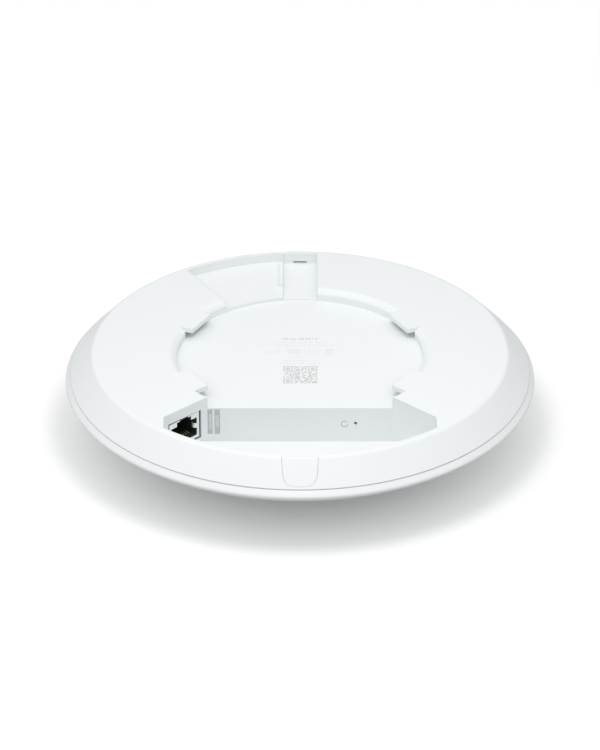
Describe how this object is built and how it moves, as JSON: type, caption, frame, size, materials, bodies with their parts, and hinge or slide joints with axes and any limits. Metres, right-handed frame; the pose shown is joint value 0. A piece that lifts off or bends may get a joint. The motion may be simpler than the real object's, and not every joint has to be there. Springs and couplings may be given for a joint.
{
  "type": "ceiling access point",
  "caption": "Round ceiling-mounted wireless access point, back up: bayonet bracket seat, cable pocket with a network socket, reset pinhole and side cable exit tab.",
  "frame": {"origin": "centre of the round bracket seat's floor on the back", "axes": "+Z towards the ceiling along the casing's axis, -Y towards the side where the cable leaves, +X to the right of that side seen from above the back"},
  "size_m": [0.16, 0.16, 0.033],
  "materials": {
    "cover_plastic": "fine satin moulded white",
    "dome_plastic": "fine satin moulded white",
    "board_laminate": "green solder mask",
    "spreader_aluminium": "as rolled",
    "plated_steel": "tin plated sheet",
    "socket_shield": "nickel plated sheet",
    "spacer_brass": "turned",
    "capacitor_aluminium": "plain can",
    "chip_epoxy": "moulded black",
    "thermal_pad": "soft matt",
    "socket_plastic": "moulded black",
    "contact_gold": "gold flashed",
    "transformer_case": "moulded black",
    "ferrite": "pressed ferrite",
    "button_plastic": "moulded black",
    "cable_jacket": "extruded jacket",
    "light_guide_plastic": "clear moulded",
    "led_resin": "cast resin"
  },
  "bodies": {
    "casing": {"antenna_1": "plated_steel", "antenna_2": "plated_steel", "antenna_3": "plated_steel", "antenna_4": "plated_steel", "antenna_cable_1": "cable_jacket", "antenna_cable_2": "cable_jacket", "antenna_cable_3": "cable_jacket", "antenna_cable_4": "cable_jacket", "board_screw_1": "plated_steel", "board_screw_2": "plated_steel", "board_screw_3": "plated_steel", "board_screw_4": "plated_steel", "board_spacer_1": "spacer_brass", "board_spacer_2": "spacer_brass", "board_spacer_3": "spacer_brass", "board_spacer_4": "spacer_brass", "bulk_capacitor_1": "capacitor_aluminium", "bulk_capacitor_2": "capacitor_aluminium", "ethernet_transformer": "transformer_case", "front_dome": "dome_plastic", "heat_spreader": "spreader_aluminium", "light_guide": "light_guide_plastic", "main_board": "board_laminate", "power_inductor": "ferrite", "power_transformer": "transformer_case", "processor": "chip_epoxy", "processor_thermal_pad": "thermal_pad", "radio_chip_1": "chip_epoxy", "radio_chip_2": "chip_epoxy", "radio_shield_1": "plated_steel", "radio_shield_2": "plated_steel", "rear_cover": "cover_plastic", "reset_switch": "chip_epoxy", "rj45_insert": "socket_plastic", "rj45_shield": "socket_shield", "status_led": "led_resin"},
    "exit_tab": {"cable_exit_tab": "cover_plastic"},
    "reset_plunger": {"reset_button": "button_plastic"},
    "socket_contacts": {"rj45_contact_1": "contact_gold", "rj45_contact_2": "contact_gold", "rj45_contact_3": "contact_gold", "rj45_contact_4": "contact_gold", "rj45_contact_5": "contact_gold", "rj45_contact_6": "contact_gold", "rj45_contact_7": "contact_gold", "rj45_contact_8": "contact_gold"}
  },
  "joints": [
    {"name": "exit_tab_release", "type": "slide", "parent": "casing", "child": "exit_tab", "axis": [0, -0.7209, 0.693], "range_m": [0, 0.012]},
    {"name": "reset_press", "type": "slide", "parent": "casing", "child": "reset_plunger", "axis": [0, 1, 0], "range_m": [0, 0.0003]},
    {"name": "contact_flex", "type": "hinge", "parent": "casing", "child": "socket_contacts", "pos_m": [-0.03963, -0.03762, -0.0084], "axis": [0.7071, 0.7071, 0], "range_deg": [-10, 0]}
  ]
}
